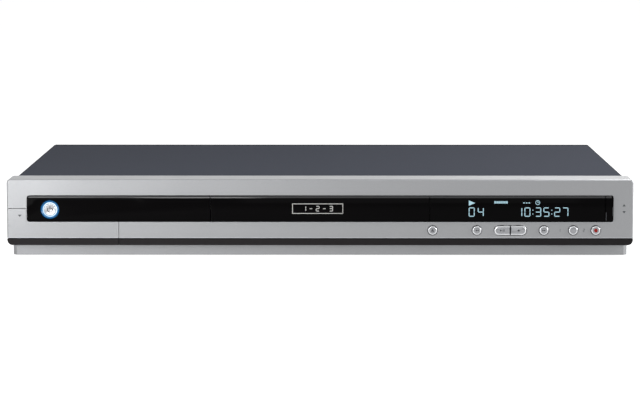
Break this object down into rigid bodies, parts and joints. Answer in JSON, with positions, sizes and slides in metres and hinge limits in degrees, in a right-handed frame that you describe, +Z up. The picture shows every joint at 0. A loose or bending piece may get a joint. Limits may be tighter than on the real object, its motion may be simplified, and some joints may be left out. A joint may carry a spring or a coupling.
{
  "type": "disc recorder",
  "caption": "Slim shelf-top disc recorder with a silver front, black window strip, sliding tray, push buttons and a flap over the front sockets.",
  "frame": {"origin": "on the surface it stands on, under the middle of its overall box", "axes": "+X to the right seen from the front, +Y from the front to the back, +Z up"},
  "size_m": [0.43, 0.27, 0.055],
  "materials": {
    "silver_plastic": "silver metallic satin",
    "dark_strip": "satin charcoal",
    "gloss_black": "gloss black",
    "cover_paint": "fine-textured dark grey",
    "plated_steel": "zinc plated",
    "button_silver": "bright silver",
    "ring_blue": "clear blue",
    "black_plastic": "matte",
    "grey_plastic": "matte",
    "white_plastic": "natural",
    "yellow_plastic": "matte",
    "red_plastic": "matte",
    "foot_rubber": "matte",
    "board_green": "solder resist",
    "display_glass": "smoked",
    "coil_copper": "varnished"
  },
  "bodies": {
    "case": {"front_bezel": "silver_plastic", "base_trim": "silver_plastic", "lower_strip": "dark_strip", "left_window": "gloss_black", "display_window": "gloss_black", "top_cover": "cover_paint", "base_pan": "plated_steel", "rear_panel": "plated_steel", "tuner_module": "plated_steel", "flap_hinge_pin": "plated_steel", "data_socket": "plated_steel", "loader_cover": "plated_steel", "loading_motor": "plated_steel", "power_light_ring": "ring_blue", "fan_frame": "black_plastic", "mains_inlet": "black_plastic", "rear_socket_block": "black_plastic", "socket_panel": "black_plastic", "svideo_socket": "black_plastic", "loader_frame": "black_plastic", "left_audio_jack": "white_plastic", "video_jack": "yellow_plastic", "right_audio_jack": "red_plastic", "front_left_foot": "foot_rubber", "front_right_foot": "foot_rubber", "rear_left_foot": "foot_rubber", "rear_right_foot": "foot_rubber", "drive_belt": "foot_rubber", "power_board": "board_green", "main_board": "board_green", "control_board": "board_green", "display_tube": "display_glass", "power_transformer": "coil_copper"},
    "tray": {"disc_tray": "black_plastic", "tray_lid": "gloss_black"},
    "drive_gear": {"drive_gear": "white_plastic"},
    "pulley_gear": {"pulley_gear": "white_plastic"},
    "motor_pulley": {"motor_pulley": "white_plastic"},
    "traverse": {"traverse_frame": "grey_plastic", "spindle_motor": "plated_steel", "left_guide_rod": "plated_steel", "right_guide_rod": "plated_steel", "sled_motor": "plated_steel"},
    "turntable": {"turntable": "black_plastic"},
    "clamp": {"clamp_puck": "white_plastic"},
    "pickup": {"optical_pickup": "black_plastic"},
    "lead_screw": {"lead_screw": "plated_steel"},
    "cam": {"cam_slider": "white_plastic"},
    "fan": {"fan_rotor": "black_plastic"},
    "flap": {"socket_flap": "silver_plastic", "flap_strip": "dark_strip"},
    "rocker": {"channel_rocker": "gloss_black"},
    "power_button": {"power_button": "button_silver"},
    "eject_button": {"eject_button": "button_silver"},
    "previous_button": {"previous_button": "button_silver"},
    "play_pause_button": {"play_pause_button": "button_silver"},
    "stop_button": {"stop_button": "button_silver"},
    "next_button": {"next_button": "button_silver"},
    "scan_button": {"scan_button": "button_silver"},
    "record_button": {"record_button": "button_silver"}
  },
  "joints": [
    {"name": "tray_slide", "type": "slide", "parent": "case", "child": "tray", "axis": [0, -1, 0], "range_m": [0, 0.138]},
    {"name": "drive_gear_spin", "type": "hinge", "parent": "case", "child": "drive_gear", "pos_m": [-0.038, -0.108, 0.02], "axis": [0, 0, 1], "range_deg": [-0.5, 660]},
    {"name": "pulley_gear_spin", "type": "hinge", "parent": "case", "child": "pulley_gear", "pos_m": [-0.017, -0.108, 0.02], "axis": [0, 0, 1], "range_deg": [-1650, 1]},
    {"name": "motor_pulley_spin", "type": "hinge", "parent": "case", "child": "motor_pulley", "pos_m": [0.018, -0.108, 0.02], "axis": [0, 0, 1], "range_deg": [-5130, 1]},
    {"name": "traverse_tilt", "type": "hinge", "parent": "case", "child": "traverse", "pos_m": [0, 0.024, 0.02175], "axis": [1, 0, 0], "range_deg": [0, 3]},
    {"name": "cam_slide", "type": "slide", "parent": "case", "child": "cam", "axis": [1, 0, 0], "range_m": [0, 0.0301]},
    {"name": "turntable_spin", "type": "hinge", "parent": "traverse", "child": "turntable", "pos_m": [0, -0.062, 0.03], "axis": [0, 0, 1], "continuous": true},
    {"name": "clamp_spin", "type": "hinge", "parent": "case", "child": "clamp", "pos_m": [0, -0.062, 0.04], "axis": [0, 0, 1], "continuous": true},
    {"name": "pickup_slide", "type": "slide", "parent": "traverse", "child": "pickup", "axis": [0, 1, 0], "range_m": [0, 0.036]},
    {"name": "lead_screw_spin", "type": "hinge", "parent": "traverse", "child": "lead_screw", "pos_m": [0.033, -0.015, 0.02505], "axis": [0, 1, 0], "range_deg": [-1, 4325]},
    {"name": "fan_spin", "type": "hinge", "parent": "case", "child": "fan", "pos_m": [-0.11, 0.1201, 0.0268], "axis": [0, 1, 0], "continuous": true},
    {"name": "flap_hinge", "type": "hinge", "parent": "case", "child": "flap", "pos_m": [-0.175, -0.1306, 0.0116], "axis": [1, 0, 0], "range_deg": [0, 90]},
    {"name": "channel_rocker_tilt", "type": "hinge", "parent": "case", "child": "rocker", "pos_m": [0.2, -0.1292, 0.0347], "axis": [1, 0, 0], "range_deg": [-2.5, 2.5], "stiffness_Nm_per_rad": 0.15},
    {"name": "power_button_press", "type": "slide", "parent": "case", "child": "power_button", "axis": [0, 1, 0], "range_m": [0, 0.0005], "stiffness_N_per_m": 1200},
    {"name": "eject_button_press", "type": "slide", "parent": "case", "child": "eject_button", "axis": [0, 1, 0], "range_m": [0, 0.0005], "stiffness_N_per_m": 1200},
    {"name": "previous_button_press", "type": "slide", "parent": "case", "child": "previous_button", "axis": [0, 1, 0], "range_m": [0, 0.0005], "stiffness_N_per_m": 1200},
    {"name": "play_pause_button_press", "type": "slide", "parent": "case", "child": "play_pause_button", "axis": [0, 1, 0], "range_m": [0, 0.0005], "stiffness_N_per_m": 1200},
    {"name": "stop_button_press", "type": "slide", "parent": "case", "child": "stop_button", "axis": [0, 1, 0], "range_m": [0, 0.0005], "stiffness_N_per_m": 1200},
    {"name": "next_button_press", "type": "slide", "parent": "case", "child": "next_button", "axis": [0, 1, 0], "range_m": [0, 0.0005], "stiffness_N_per_m": 1200},
    {"name": "scan_button_press", "type": "slide", "parent": "case", "child": "scan_button", "axis": [0, 1, 0], "range_m": [0, 0.0005], "stiffness_N_per_m": 1200},
    {"name": "record_button_press", "type": "slide", "parent": "case", "child": "record_button", "axis": [0, 1, 0], "range_m": [0, 0.0005], "stiffness_N_per_m": 1200}
  ],
  "couplings": [
    {"joint": "drive_gear_spin", "follows": "tray_slide", "rad_per_m": 83.333},
    {"joint": "pulley_gear_spin", "follows": "tray_slide", "rad_per_m": -208.33},
    {"joint": "motor_pulley_spin", "follows": "tray_slide", "rad_per_m": -648.15},
    {"joint": "cam_slide", "follows": "traverse_tilt", "m_per_rad": 0.57296},
    {"joint": "clamp_spin", "follows": "turntable_spin", "ratio": 1},
    {"joint": "lead_screw_spin", "follows": "pickup_slide", "rad_per_m": 2094.4}
  ]
}
